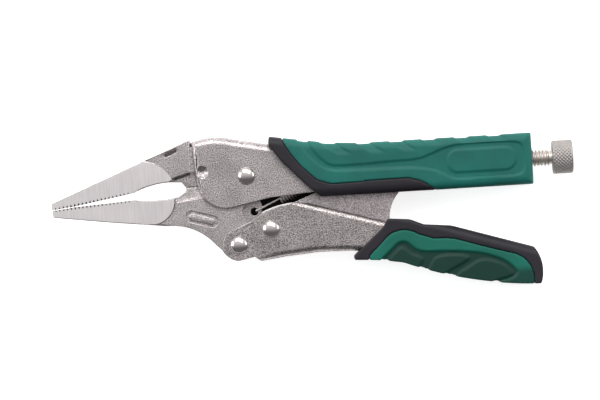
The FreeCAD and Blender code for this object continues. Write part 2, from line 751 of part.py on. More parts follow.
def make_lower_grip():
    whole = grip_blank("lower_grip_block", [
        (45.0, -39.4), (55.0, -40.1), (66.0, -42.0), arc((96.0, -51.1), (125.3, -54.5)),
        arc((126.2, -46.0), (123.0, -38.2)), (88.0, -27.0), (76.0, -25.8), (70.0, -23.2),
        (60.2, -22.3), (58.0, -25.8), (50.0, -32.9), (44.6, -37.8),
    ], f"2 * {GRIP_HALF}", lambda edge: edge.Length > 30.0 and edge.CenterOfMass.y > -40.0)
    green = grip_blank("lower_grip_soft_block", [
        (51.0, -60.0), (51.2, -38.2), (58.0, -31.5), arc((64.5, -27.8), (73.0, -29.7)),
        (79.0, -31.9), (88.0, -32.5), (105.0, -38.0), (114.0, -40.6), arc((119.8, -44.6), (122.3, -52.0)),
        (122.6, -60.0),
    ], f"2 * {GRIP_HALF} + 4")
    core = grip_blank("lower_grip_core_block", [
        (40.0, -37.4), (47.0, -37.9), (58.0, -38.9), (70.0, -41.4), (88.0, -47.8), (106.0, -51.4),
        (121.0, -52.7), (121.0, 0.0), (40.0, 0.0),
    ], f"2 * {CORE_HALF}")
    room = grip_blank("lower_grip_room", [(30.0, -35.0)] + LOWER_BOTTOM[3:] + backwards(LOWER_TOP) + [
        (40.0, -16.8),
    ], LOWER_WIDTH)
    extrude(room, "around_link", [
        (50.0, -34.0), (64.5, -27.0), (64.5, -18.0), (50.0, -18.0),
    ], f"{LINK_WIDTH} + 2 * jaw_gap")
    return make_grip("lower_grip", whole, green, core, room)


# ---- build, place and write -------------------------------------------------------------------

def bounds_of(shapes):
    box = FreeCAD.BoundBox()
    for shape in shapes:
        box.add(shape.optimalBoundingBox(False, False))
    return box


def place(node, at=("0", "0")):
    """Move a piece to the stored frame; rivets also move to their own pivots."""
    node.setExpression("Placement.Base.x", bound(f"frame_x + {at[0]}"))
    node.setExpression("Placement.Base.y", bound(f"frame_y + {at[1]}"))
    node.setExpression("Placement.Base.z", bound("frame_z + 0"))


def set_size(word, value):
    row = list(SIZES).index(word) + 1
    sheet.set(f"B{row}", repr(round(value, 4)))


def check_pieces():
    """Stop at any object that failed, and at any piece that is not one valid solid."""
    faults = [each.Label for each in doc.Objects if "Invalid" in each.State or "Error" in each.State]
    for node, _ in nodes:
        shape = node.Shape
        if shape.isNull():
            faults.append(f"{node.Label}: empty")
        elif not shape.isValid() or len(shape.Solids) != 1:
            sizes = [(round(solid.Volume, 1), str(solid.BoundBox)) for solid in shape.Solids]
            faults.append(f"{node.Label}: solids {sizes}, valid {shape.isValid()}")
    if faults:
        raise RuntimeError("not built: " + "; ".join(faults))


nodes = [
    (make_upper_handle(), ("0", "0")),
    (make_upper_jaw(), ("0", "0")),
    (make_lower_jaw(), ("0", "0")),
    (make_lower_handle(), ("0", "0")),
    (make_toggle_link(), ("0", "0")),
    make_rivet("jaw_rivet", ("0", "0"), "channel_width"),
    make_rivet("handle_rivet", HANDLE_PIVOT, f"{LOWER_WIDTH} - 2 * ear_joggle"),
    make_rivet("link_rivet", LINK_PIVOT, LOWER_WIDTH),
    (make_screw(), ("0", "0")),
    (make_knob(), ("0", "0")),
    (make_spring(), ("0", "0")),
]
nodes += [(node, ("0", "0")) for node in make_upper_grip() + make_lower_grip()]
doc.recompute()
for node, at in nodes:
    place(node, at)
doc.recompute()

check_pieces()
whole_tool = bounds_of([node.Shape for node, _ in nodes])
set_size("frame_x", -whole_tool.Center.x)
set_size("frame_y", -whole_tool.Center.y)
set_size("frame_z", -whole_tool.ZMin)
doc.recompute()
check_pieces()

os.makedirs("parts", exist_ok=True)
for node, _ in nodes:
    node.Shape.exportStep(f"parts/{node.Label}.step")
    box = node.Shape.BoundBox
    print(f"{node.Label:20s} {node.Shape.Volume:10.1f} mm3  "
          f"x {box.XMin:7.2f} {box.XMax:7.2f}  y {box.YMin:7.2f} {box.YMax:7.2f}  "
          f"z {box.ZMin:6.2f} {box.ZMax:6.2f}")
print("frame", number("frame_x"), number("frame_y"), number("frame_z"))
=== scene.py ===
"""Locking pliers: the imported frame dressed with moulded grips, a cut thread, a knurled knob,
a wire spring, domed rivets and their finishes, on a plain pale stage."""

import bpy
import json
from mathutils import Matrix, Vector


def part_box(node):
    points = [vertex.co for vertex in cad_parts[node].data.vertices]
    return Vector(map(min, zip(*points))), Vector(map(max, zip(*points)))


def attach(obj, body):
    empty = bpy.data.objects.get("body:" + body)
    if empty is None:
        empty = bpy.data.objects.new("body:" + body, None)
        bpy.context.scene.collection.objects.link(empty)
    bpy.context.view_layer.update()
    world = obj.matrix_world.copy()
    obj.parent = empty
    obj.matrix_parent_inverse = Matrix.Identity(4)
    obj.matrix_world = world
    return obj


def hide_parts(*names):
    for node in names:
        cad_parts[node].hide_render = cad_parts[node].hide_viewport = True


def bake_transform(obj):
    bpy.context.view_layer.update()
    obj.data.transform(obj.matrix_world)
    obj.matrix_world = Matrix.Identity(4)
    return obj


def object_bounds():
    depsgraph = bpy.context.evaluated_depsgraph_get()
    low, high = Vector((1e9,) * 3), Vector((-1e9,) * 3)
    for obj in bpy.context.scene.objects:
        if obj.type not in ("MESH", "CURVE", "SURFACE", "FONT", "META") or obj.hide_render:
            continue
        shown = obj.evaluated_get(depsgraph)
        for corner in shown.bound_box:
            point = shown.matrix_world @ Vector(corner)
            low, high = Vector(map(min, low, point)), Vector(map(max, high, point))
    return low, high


bl_info = {
    "name": "Locking pliers",
    "version": (1, 0, 0),
    "blender": (4, 5, 0),
    "location": "3D View > Sidebar > Pliers",
    "description": "Builds the grips, screw, knob, spring, rivets and finishes of the locking pliers",
    "category": "Object",
}

import json
import math

import bmesh
import bpy
import numpy as np
from mathutils import Matrix, Vector
from mathutils.bvhtree import BVHTree

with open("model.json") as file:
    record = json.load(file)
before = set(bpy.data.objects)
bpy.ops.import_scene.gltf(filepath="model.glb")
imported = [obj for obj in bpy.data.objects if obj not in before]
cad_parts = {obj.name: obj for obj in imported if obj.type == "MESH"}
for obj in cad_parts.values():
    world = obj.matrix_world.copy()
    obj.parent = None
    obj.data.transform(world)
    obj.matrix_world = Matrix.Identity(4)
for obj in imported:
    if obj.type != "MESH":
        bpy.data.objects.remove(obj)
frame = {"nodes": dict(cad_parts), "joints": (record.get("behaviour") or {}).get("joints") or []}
cad_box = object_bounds()

MM = 0.001
FULL_TURN = math.tau
PIVOTS = {j["name"]: Vector(j["pos_m"]) for j in frame["joints"] if "pos_m" in j}
JAW_PIVOT = PIVOTS["jaw_pivot"]
AXIS_X = Vector((1.0, 0.0, 0.0))
AXIS_Z = Vector((0.0, 0.0, 1.0))


# ---------------------------------------------------------------- places and meshes


def at(x, y, z=0.0):
    """A point given in millimetres from the jaw pivot, in the frame's metres."""
    return JAW_PIVOT + Vector((x, y, z)) * MM


def in_mm(points):
    """Positions in the frame's metres as millimetres from the jaw pivot."""
    return (points - np.array(JAW_PIVOT)) / MM


def new_piece(name, bm, finish, body, nodes=()):
    """Make the finished object of a piece from its bmesh and tie it to the frame."""
    mesh = bpy.data.meshes.new(name)
    bm.to_mesh(mesh)
    bm.free()
    piece = bpy.data.objects.new(name, mesh)
    bpy.context.scene.collection.objects.link(piece)
    dress(piece, finish)
    if body:
        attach(piece, body)
    if nodes:
        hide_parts(*nodes)
    return piece


def dress(piece, finish):
    """Give a piece one finish on all its faces."""
    piece.data.materials.clear()
    piece.data.materials.append(finish)


def soften(piece, angle):
    """Smooth shading, with edges sharper than the angle left crisp."""
    piece.data.shade_smooth()
    piece.data.set_sharp_from_angle(angle=angle)


def merged_copy(node):
    """A welded copy of a frame node's triangles, as a bmesh."""
    bm = bmesh.new()
    bm.from_mesh(frame["nodes"][node].data)
    bmesh.ops.remove_doubles(bm, verts=bm.verts, dist=0.001 * MM)
    return bm


def turned(profile, centre, axis, steps):
    """A solid of revolution: the profile is (along, radius) in millimetres from the centre."""
    bm = bmesh.new()
    side = axis.orthogonal().normalized()
    chain = [bm.verts.new(centre + axis * along * MM + side * radius * MM) for along, radius in profile]
    edges = [bm.edges.new(pair) for pair in zip(chain, chain[1:])]
    bmesh.ops.spin(
        bm, geom=chain + edges, cent=centre, axis=axis, angle=FULL_TURN, steps=steps, use_merge=True
    )
    bmesh.ops.remove_doubles(bm, verts=bm.verts, dist=0.0005 * MM)
    bmesh.ops.recalc_face_normals(bm, faces=bm.faces)
    return bm


def step_up(low, high, value):
    """Smooth ramp from 0 at low to 1 at high."""
    share = np.clip((value - low) / (high - low), 0.0, 1.0)
    return share * share * (3.0 - 2.0 * share)


def rounded(corners, rounds=2):
    """A closed outline with its corners cut, each round softer than the last."""
    loop = np.array(corners, float)
    for _ in range(rounds):
        following = np.roll(loop, -1, axis=0)
        loop = np.stack((loop * 0.75 + following * 0.25, loop * 0.25 + following * 0.75), 1).reshape(-1, 2)
    return loop


def depth_inside(x, y, loop):
    """Distance to a closed outline in millimetres, positive inside it."""
    inside = np.zeros(len(x), bool)
    nearest = np.full(len(x), np.inf)
    for (ax, ay), (bx, by) in zip(loop, np.roll(loop, -1, axis=0)):
        run_x, run_y = bx - ax, by - ay
        share = np.clip(((x - ax) * run_x + (y - ay) * run_y) / (run_x**2 + run_y**2 + 1e-12), 0.0, 1.0)
        nearest = np.minimum(nearest, np.hypot(x - ax - share * run_x, y - ay - share * run_y))
        if ay != by:
            crosses = ((ay > y) != (by > y)) & (x < run_x * (y - ay) / (by - ay) + ax)
            inside ^= crosses
    return np.where(inside, nearest, -nearest)


# ---------------------------------------------------------------- finishes


def linear(hex_code):
    """An sRGB hex colour as linear RGBA."""
    parts = [int(hex_code[i : i + 2], 16) / 255.0 for i in (1, 3, 5)]
    return [p / 12.92 if p <= 0.04045 else ((p + 0.055) / 1.055) ** 2.4 for p in parts] + [1.0]


def add(tree, kind, settings=None, inputs=None):
    """Add one node with its settings; each input takes a value or another node's socket."""
    made = tree.nodes.new(kind)
    for name, value in (settings or {}).items():
        setattr(made, name, value)
    for name, value in (inputs or {}).items():
        if isinstance(value, bpy.types.NodeSocket):
            tree.links.new(value, made.inputs[name])
        else:
            made.inputs[name].default_value = value
    return made


def new_finish(name):
    """An empty material with its node tree and the object coordinates its patterns use."""
    finish = bpy.data.materials.new(name)
    finish.use_nodes = True
    tree = finish.node_tree
    tree.nodes.clear()
    return finish, tree, add(tree, "ShaderNodeTexCoord").outputs["Object"]


def close_finish(tree, shader):
    add(tree, "ShaderNodeOutputMaterial", inputs={"Surface": shader.outputs["BSDF"]})


def per_metre(size):
    """Pattern scale whose cell is the given size."""
    return 1.0 / size


def blasted_nickel(name, light, dark, settings):
    """Nickel-plated steel, bead-blasted before plating: a satin grey with a sparkling grain.

    The real craters are about 0.15 mm, so the grain is drawn three times coarser to show."""
    finish, tree, coords = new_finish(name)
    grain = add(
        tree,
        "ShaderNodeTexNoise",
        inputs={"Vector": coords, "Scale": per_metre(settings.blast_grain), "Detail": 1.0, "Roughness": 0.5},
    )
    cloud = add(
        tree, "ShaderNodeTexNoise", inputs={"Vector": coords, "Scale": per_metre(7 * MM), "Detail": 4.0}
    )
    contrast = add(
        tree,
        "ShaderNodeMapRange",
        inputs={"Value": grain.outputs["Fac"], "From Min": 0.36, "From Max": 0.64},
    )
    patches = add(
        tree,
        "ShaderNodeMapRange",
        inputs={
            "Value": cloud.outputs["Fac"], "From Min": 0.3, "From Max": 0.7,
            "To Min": 0.84, "To Max": 1.0,
        },
    )
    tone = add(tree, "ShaderNodeMix", {"data_type": "RGBA"}, {"Factor": contrast.outputs["Result"]})
    tone.inputs["A"].default_value = dark
    tone.inputs["B"].default_value = light
    colour = add(
        tree,
        "ShaderNodeMix",
        {"data_type": "RGBA", "blend_type": "MULTIPLY"},
        {"Factor": 1.0, "A": tone.outputs["Result"], "B": patches.outputs["Result"]},
    )
    rough = add(
        tree,
        "ShaderNodeMapRange",
        inputs={"Value": cloud.outputs["Fac"], "To Min": 0.30, "To Max": 0.46},
    )
    bump = add(
        tree,
        "ShaderNodeBump",
        inputs={"Height": grain.outputs["Fac"], "Strength": 1.0, "Distance": 0.10 * MM},
    )
    shader = add(
        tree,
        "ShaderNodeBsdfPrincipled",
        inputs={
            "Base Color": colour.outputs["Result"],
            "Metallic": 1.0,
            "Roughness": rough.outputs["Result"],
            "Normal": bump.outputs["Normal"],
        },
    )
    close_finish(tree, shader)
    return finish


def ground_nickel(name, light, dark):
    """Nickel over a belt-ground face: brighter than the blasted metal, with fine upright scratches.

    Real scratches are a few hundredths of a millimetre apart; they are drawn about 0.5 mm apart."""
    finish, tree, coords = new_finish(name)
    stretched = add(
        tree, "ShaderNodeMapping", inputs={"Vector": coords, "Scale": (1.0, 0.05, 1.0)}
    )
    scratches = add(
        tree,
        "ShaderNodeTexNoise",
        inputs={"Vector": stretched.outputs["Vector"], "Scale": per_metre(0.55 * MM), "Detail": 3.0},
    )
    cloud = add(
        tree, "ShaderNodeTexNoise", inputs={"Vector": coords, "Scale": per_metre(11 * MM), "Detail": 2.0}
    )
    contrast = add(
        tree,
        "ShaderNodeMapRange",
        inputs={"Value": scratches.outputs["Fac"], "From Min": 0.35, "From Max": 0.65},
    )
    tone = add(tree, "ShaderNodeMix", {"data_type": "RGBA"}, {"Factor": contrast.outputs["Result"]})
    tone.inputs["A"].default_value = dark
    tone.inputs["B"].default_value = light
    rough = add(
        tree, "ShaderNodeMapRange", inputs={"Value": cloud.outputs["Fac"], "To Min": 0.28, "To Max": 0.40}
    )
    bump = add(
        tree,
        "ShaderNodeBump",
        inputs={"Height": scratches.outputs["Fac"], "Strength": 0.2, "Distance": 0.02 * MM},
    )
    shader = add(
        tree,
        "ShaderNodeBsdfPrincipled",
        inputs={
            "Base Color": tone.outputs["Result"],
            "Metallic": 1.0,
            "Roughness": rough.outputs["Result"],
            "Normal": bump.outputs["Normal"],
        },
    )
    close_finish(tree, shader)
    return finish


def polished_steel(name, colour, roughness):
    """Cold-headed steel rivets, tumbled bright: near-mirror domes with faint scuffs."""
    finish, tree, coords = new_finish(name)
    scuffs = add(
        tree, "ShaderNodeTexNoise", inputs={"Vector": coords, "Scale": per_metre(1.4 * MM), "Detail": 5.0}
    )
    rough = add(
        tree,
        "ShaderNodeMapRange",
        inputs={"Value": scuffs.outputs["Fac"], "To Min": roughness * 0.6, "To Max": roughness * 1.6},
    )
    bump = add(
        tree,
        "ShaderNodeBump",
        inputs={"Height": scuffs.outputs["Fac"], "Strength": 0.05, "Distance": 0.02 * MM},
    )
    shader = add(
        tree,
        "ShaderNodeBsdfPrincipled",
        inputs={
            "Base Color": colour,
            "Metallic": 1.0,
            "Roughness": rough.outputs["Result"],
            "Normal": bump.outputs["Normal"],
        },
    )
    close_finish(tree, shader)
    return finish


def painted_shade_steel(name, dark, light):
    """Dark, dull, slightly mottled steel used as painted shade, where notches, recesses and the channel's
    inside lie in shadow.
    """
    finish, tree, coords = new_finish(name)
    mottle = add(
        tree, "ShaderNodeTexNoise", inputs={"Vector": coords, "Scale": per_metre(0.6 * MM), "Detail": 2.0}
    )
    tone = add(tree, "ShaderNodeMix", {"data_type": "RGBA"}, {"Factor": mottle.outputs["Fac"]})
    tone.inputs["A"].default_value = dark
    tone.inputs["B"].default_value = light
    shader = add(
        tree,
        "ShaderNodeBsdfPrincipled",
        inputs={"Base Color": tone.outputs["Result"], "Metallic": 0.6, "Roughness": 0.65},
    )
    close_finish(tree, shader)
    return finish


def moulded_rubber(name, colour, shade, roughness, sunk=None):
    """Thermoplastic rubber moulded in a spark-eroded tool: matt, with a fine even bite.

    Where the piece's sunk attribute is 1 the colour turns to the given darker tone: painted shade."""
    finish, tree, coords = new_finish(name)
    bite = add(
        tree, "ShaderNodeTexNoise", inputs={"Vector": coords, "Scale": per_metre(0.5 * MM), "Detail": 2.0}
    )
    cloud = add(
        tree, "ShaderNodeTexNoise", inputs={"Vector": coords, "Scale": per_metre(14 * MM), "Detail": 3.0}
    )
    patches = add(
        tree, "ShaderNodeMapRange", inputs={"Value": cloud.outputs["Fac"], "From Min": 0.3, "From Max": 0.7}
    )
    tone = add(tree, "ShaderNodeMix", {"data_type": "RGBA"}, {"Factor": patches.outputs["Result"]})
    tone.inputs["A"].default_value = shade
    tone.inputs["B"].default_value = colour
    skin = tone.outputs["Result"]
    # Painted shade: where the sunk attribute is set the colour is mixed toward the darker shade colour.
    if sunk:
        depth = add(tree, "ShaderNodeAttribute", {"attribute_name": "sunk"})
        painted_shade_mix = add(
            tree, "ShaderNodeMix", {"data_type": "RGBA"}, {"Factor": depth.outputs["Fac"], "A": skin}
        )
        painted_shade_mix.inputs["B"].default_value = sunk
        skin = painted_shade_mix.outputs["Result"]
    rough = add(
        tree,
        "ShaderNodeMapRange",
        inputs={"Value": bite.outputs["Fac"], "To Min": roughness - 0.06, "To Max": roughness + 0.08},
    )
    bump = add(
        tree,
        "ShaderNodeBump",
        inputs={"Height": bite.outputs["Fac"], "Strength": 0.25, "Distance": 0.05 * MM},
    )
    shader = add(
        tree,
        "ShaderNodeBsdfPrincipled",
        inputs={
            "Base Color": skin,
            "Roughness": rough.outputs["Result"],
            "IOR": 1.5,
            "Specular IOR Level": 0.28,
            "Normal": bump.outputs["Normal"],
        },
    )
    close_finish(tree, shader)
    return finish


# ---------------------------------------------------------------- settings


def colour_property(name, description, hex_code):
    """A colour setting whose default is given in sRGB hex."""
    return bpy.props.FloatVectorProperty(
        name=name, description=description, subtype="COLOR", size=4, min=0.0, max=1.0,
        default=linear(hex_code),
    )


class MetalSettings(bpy.types.PropertyGroup):
    blast_grain: bpy.props.FloatProperty(
        name="Blast grain", description="Width of one drawn grain of the blasted nickel",
        default=0.45 * MM, unit="LENGTH", precision=5,
    )
    blasted_colour: colour_property(
        "Blasted nickel", "Light tone of the upper channel's and jaws' blasted nickel", "#DAD2D2"
    )
    coarse_colour: colour_property(
        "Coarse nickel", "Light tone of the lower channel's blasted nickel", "#D0C8C7"
    )
    ground_colour: colour_property("Ground nickel", "Light tone of the ground nose pads", "#F2ECEC")
    rivet_colour: colour_property("Rivets", "Tone of the bright rivet heads", "#CFC8C5")
    sheet_edge: bpy.props.FloatProperty(
        name="Sheet edge", description="Bevel along the pressed sheet's edges",
        default=0.35 * MM, unit="LENGTH", precision=5,
    )
    jaw_edge: bpy.props.FloatProperty(
        name="Jaw edge", description="Bevel along the forged jaws' edges",
        default=0.4 * MM, unit="LENGTH", precision=5,
    )


class GripSettings(bpy.types.PropertyGroup):
    voxel: bpy.props.FloatProperty(
        name="Mesh step", description="Edge length of the grip skin's mesh",
        default=0.5 * MM, unit="LENGTH", precision=5,
    )
    flute_depth: bpy.props.FloatProperty(
        name="Flute depth", description="Depth of the finger flutes across the back of the upper grip",
        default=0.5 * MM, unit="LENGTH", precision=5,
    )
    upper_green: colour_property("Upper green", "Light tone of the upper grip's cover", "#12635A")
    lower_green: colour_property("Lower green", "Light tone of the lower grip's cover", "#0A6455")
    charcoal: colour_property("Charcoal", "Light tone of the grips' bases", "#252228")
    panel_depth: bpy.props.FloatProperty(
        name="Panel depth", description="Depth of the sunk panels in the grip sides",
        default=0.6 * MM, unit="LENGTH", precision=5,
    )


class ScrewSettings(bpy.types.PropertyGroup):
    thread_pitch: bpy.props.FloatProperty(
        name="Thread pitch", description="Distance from crest to crest of the adjusting screw",
        default=1.5 * MM, unit="LENGTH", precision=5,
    )
    thread_depth: bpy.props.FloatProperty(
        name="Thread depth", description="Height of the thread above its root",
        default=0.8 * MM, unit="LENGTH", precision=5,
    )
    knurl_starts: bpy.props.IntProperty(
        name="Knurl starts", description="Grooves of each hand round the knob", default=30
    )
    screw_colour: colour_property("Screw", "Tone of the plated adjusting screw", "#CFC8C2")
    knob_colour: colour_property("Knob", "Tone of the plated knob", "#A9A4A1")
    knurl_depth: bpy.props.FloatProperty(
        name="Knurl depth", description="Depth of the knurl's grooves",
        default=0.5 * MM, unit="LENGTH", precision=5,
    )


# ---------------------------------------------------------------- grips


SMOOTHING_ROUNDS = 3
OPEN_START = 0.35  # millimetres above the skin from which a vertex looks for a neighbour
OPEN_REACH = 25.0  # millimetres within which a neighbour counts


def grip_skin(name, node, neighbours, relief, painted_shade_share, finish, body, settings):
    """A grip moulding: the node's solid re-skinned finely, with relief pressed in its open faces and a
    painted-shade share kept on its vertices.
    """
    bm = merged_copy(node)
    mesh = bpy.data.meshes.new(name)
    bm.to_mesh(mesh)
    bm.free()
    block = bpy.data.objects.new(name + "_block", mesh)
    bpy.context.scene.collection.objects.link(block)
    remesh = block.modifiers.new("skin", "REMESH")
    remesh.mode = "VOXEL"
    remesh.voxel_size = settings.voxel
    skin = bpy.data.meshes.new_from_object(block.evaluated_get(bpy.context.evaluated_depsgraph_get()))
    bpy.data.objects.remove(block)
    bpy.data.meshes.remove(mesh)
    bm = bmesh.new()
    bm.from_mesh(skin)
    bpy.data.meshes.remove(skin)
    for _ in range(SMOOTHING_ROUNDS):
        bmesh.ops.smooth_vert(
            bm, verts=bm.verts, factor=0.5, use_axis_x=True, use_axis_y=True, use_axis_z=True
        )
    bm.normal_update()
    press_relief(bm, neighbours, relief)
    places = in_mm(np.array([v.co for v in bm.verts]))
    piece = new_piece(name, bm, finish, body, (node,))
    # Painted shade: each vertex keeps how far it takes the finish's darker colour.
    sunk = piece.data.attributes.new("sunk", "FLOAT", "POINT")
    sunk.data.foreach_set("value", painted_shade_share(places[:, 0], places[:, 1]).astype(np.float32))
    soften(piece, math.radians(50))
    return piece


def press_relief(bm, neighbours, relief):
    """Move each open vertex along its normal by the relief at its place."""
    verts = list(bm.verts)
    places = in_mm(np.array([v.co for v in verts]))
    heights = relief(places[:, 0], places[:, 1])
    trees = []
    for node in neighbours:
        solid = merged_copy(node)
        trees.append(BVHTree.FromBMesh(solid))
        solid.free()
    for i in np.flatnonzero(np.abs(heights) > 0.001):
        vert = verts[i]
        start = vert.co + vert.normal * OPEN_START * MM
        if any(tree.ray_cast(start, vert.normal, OPEN_REACH * MM)[0] is not None for tree in trees):
            continue
        vert.co += vert.normal * float(heights[i]) * MM


UPPER_PANEL = (
    (22.6, 20.0), (27.6, 20.0), (27.6, 13.6), (28.6, 11.5), (30.0, 9.0), (33.0, 5.6), (35.5, 3.4),
    (38.0, 2.3), (45.0, 2.05), (60.0, 2.6), (75.0, 2.9), (80.0, 4.6), (85.0, 6.6), (90.0, 8.0),
    (95.0, 8.3), (117.0, 8.3), (120.3, 7.0), (121.4, 4.0), (121.4, -3.5), (120.2, -6.0),
    (117.0, -7.3), (93.0, -7.3), (89.0, -6.6), (85.5, -4.4), (81.5, -2.5), (75.0, -1.6),
    (60.0, -1.2), (45.0, -1.0), (40.0, -0.7), (36.0, 0.2), (33.0, 1.5), (29.5, 4.6), (26.0, 8.6),
    (23.5, 12.5), (22.6, 14.5),
)
BADGE_CENTRE = (102.5, 0.85)
BADGE_HALF = (15.0, 5.15)
BADGE_ROUND = 4.6
FLUTE_FIRST = 34.5
FLUTE_PITCH = 14.2
FLUTE_WIDTH = 6.0
FLUTE_COUNT = 6
FLUTE_SLANT = 1.25
FLUTE_FLOOR = 7.2


def upper_relief(settings):
    """Relief of the upper grip: a long sunk panel, a raised badge pad and slanted finger flutes."""
    panel = rounded(UPPER_PANEL)

    def relief(x, y):
        edge = depth_inside(x, y, panel)
        along = step_up(34.0, 44.0, x) * (1 - step_up(70.0, 82.0, x))
        soft = 0.45 + 1.2 * along * (1 - step_up(-0.5, 1.5, y))
        height = -settings.panel_depth / MM * step_up(-0.1, soft, edge)
        corner_x = np.abs(x - BADGE_CENTRE[0]) - BADGE_HALF[0] + BADGE_ROUND
        corner_y = np.abs(y - BADGE_CENTRE[1]) - BADGE_HALF[1] + BADGE_ROUND
        badge = BADGE_ROUND - np.hypot(np.maximum(corner_x, 0), np.maximum(corner_y, 0))
        height += settings.panel_depth / MM * step_up(-0.1, 0.5, badge)
        across = x + FLUTE_SLANT * (y - 11.4)
        for k in range(FLUTE_COUNT):
            left = FLUTE_FIRST + k * FLUTE_PITCH
            band = step_up(left - 0.5, left + 0.6, across)
            band *= 1 - step_up(left + FLUTE_WIDTH - 0.6, left + FLUTE_WIDTH + 0.4, across)
            floor = FLUTE_FLOOR + (1.8 if k > 2 else 0.0)
            band *= step_up(floor - 1.2, floor + 1.6, y)
            height -= settings.flute_depth / MM * band
        return height

    return relief, lambda x, y: np.zeros(len(x))


LOWER_PANEL = (
    (54.0, -46.0), (55.5, -40.0), (60.0, -36.4), (63.2, -33.2), (65.5, -32.2), (68.0, -32.6),
    (69.8, -34.2), (72.0, -36.2), (75.0, -37.2), (85.0, -37.5), (92.0, -38.0), (100.0, -39.2),
    (105.0, -40.8), (110.0, -43.0), (114.0, -46.2), (116.0, -49.3), (113.0, -51.6), (107.0, -53.0),
    (104.0, -58.0),
)
FRONT_LEAF = (
    (58.0, -46.0), (59.0, -40.0), (62.5, -36.6), (65.0, -34.6), (67.3, -35.3), (69.8, -38.0),
    (74.0, -39.5), (75.0, -41.0), (72.0, -46.0), (70.0, -50.0),
)
MIDDLE_LEAF = (
    (78.0, -52.0), (76.0, -46.0), (78.0, -42.0), (80.5, -39.5), (88.0, -39.2), (93.0, -39.9),
    (96.0, -41.4), (91.0, -44.4), (85.0, -47.0), (82.5, -49.0),
)
REAR_LEAF = (
    (86.5, -56.0), (88.0, -48.0), (94.0, -45.0), (99.0, -41.9), (105.0, -42.7), (110.0, -45.0),
    (113.2, -48.0), (114.0, -49.8), (111.5, -51.0), (105.0, -52.3), (100.0, -56.0),
)


def lower_relief(settings):
    """Relief of the lower grip: one sunk panel holding three raised leaf-shaped pads, with the share of
    painted shade over the panel and along the bottom edge.
    """
    panel = rounded(LOWER_PANEL)
    leaves = [rounded(leaf) for leaf in (FRONT_LEAF, MIDDLE_LEAF, REAR_LEAF)]

    # Painted shade: the sunk panel darkened as though sloping away from the light, and a darker strip along
    # the rounded bottom edge.
    def share(x, y):
        painted_shade_share = step_up(-0.6, 1.2, depth_inside(x, y, panel))
        return np.maximum(painted_shade_share, 0.85 * step_up(45.5, 49.5, -y))

    def relief(x, y):
        height = -settings.panel_depth / MM * 1.3 * step_up(-0.1, 0.6, depth_inside(x, y, panel))
        for leaf in leaves:
            height += settings.panel_depth / MM * step_up(-0.2, 0.9, depth_inside(x, y, leaf))
        return height

    return relief, share


class PLIERS_OT_upper_grip(bpy.types.Operator):
    """Mould the upper grip: charcoal base and green cover"""

    bl_idname = "pliers.upper_grip"
    bl_label = "Upper grip"

    def execute(self, context):
        settings = context.scene.pliers_grips
        relief, share = upper_relief(settings)
        nodes = ("upper_grip_base", "upper_grip_cover")
        black = moulded_rubber("charcoal_moulded_rubber", settings.charcoal, linear("#1E1C21"), 0.5)
        green = moulded_rubber("green_moulded_rubber", settings.upper_green, linear("#10584F"), 0.55)
        grip_skin(
            "upper_grip_charcoal", nodes[0], nodes, relief, share, black,
            "upper_handle_assembly", settings,
        )
        grip_skin(
            "upper_grip_green", nodes[1], nodes, relief, share, green,
            "upper_handle_assembly", settings,
        )
        return {"FINISHED"}


class PLIERS_OT_lower_grip(bpy.types.Operator):
    """Mould the lower grip: charcoal base and darker green cover"""

    bl_idname = "pliers.lower_grip"
    bl_label = "Lower grip"

    def execute(self, context):
        settings = context.scene.pliers_grips
        relief, share = lower_relief(settings)
        nodes = ("lower_grip_base", "lower_grip_cover")
        black = bpy.data.materials["charcoal_moulded_rubber"]
        # The last colour is painted shade for the lower grip's sunk panel and bottom edge.
        green = moulded_rubber(
            "dark_green_rubber_and_painted_shade", settings.lower_green, linear("#085849"), 0.55,
            linear("#022F27"),
        )
        grip_skin(
            "lower_grip_charcoal", nodes[0], nodes, relief, share, black,
            "lower_handle_assembly", settings,
        )
        grip_skin(
            "lower_grip_green", nodes[1], nodes, relief, share, green,
            "lower_handle_assembly", settings,
        )
        return {"FINISHED"}


# ---------------------------------------------------------------- metal pieces


SHARP_ANGLE = math.radians(38)
GRIP_FRONT = 68.0  # millimetres from the jaw pivot, behind which the grips cover the sheet's edges


def ease(bm, width, wanted):
    """Round the convex sharp edges whose middle, in millimetres from the jaw pivot, is wanted."""
    sharp = [
        e for e in bm.edges
        if len(e.link_faces) == 2 and e.is_convex and e.calc_face_angle() > SHARP_ANGLE
        and wanted(*in_mm(np.array((e.verts[0].co + e.verts[1].co) / 2)))
    ]
    bmesh.ops.bevel(
        bm, geom=sharp, offset=width, offset_type="OFFSET", segments=2, profile=0.5, affect="EDGES",
        clamp_overlap=False, material=-1, loop_slide=True,
    )
    bmesh.ops.remove_doubles(bm, verts=bm.verts, dist=0.001 * MM)


def eased_copy(name, node, edges, finish, body):
    """The node's own solid with chosen sharp edges rounded: edges holds (width, wanted) pairs."""
    bm = merged_copy(node)
    bmesh.ops.dissolve_limit(bm, angle_limit=math.radians(0.6), verts=bm.verts, edges=bm.edges)
    for width, wanted in edges:
        ease(bm, width, wanted)
    piece = new_piece(name, bm, finish, body, (node,))
    soften(piece, math.radians(50))
    flat = piece.modifiers.new("flat_faces", "WEIGHTED_NORMAL")
    flat.mode = "FACE_AREA"
    flat.weight = 100
    flat.keep_sharp = True
    return piece


PAD_REAR = -32.0
PAD_TIP_HALF = 2.8


def pad_half(x):
    """Half-thickness of the ground nose at x, in millimetres: it narrows straight to the tip."""
    low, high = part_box("upper_jaw")
    tip = (low.x - JAW_PIVOT.x) / MM
    rear_half = (high.z - low.z) / 2 / MM
    return PAD_TIP_HALF + (rear_half - PAD_TIP_HALF) * (x - tip) / (PAD_REAR - tip)


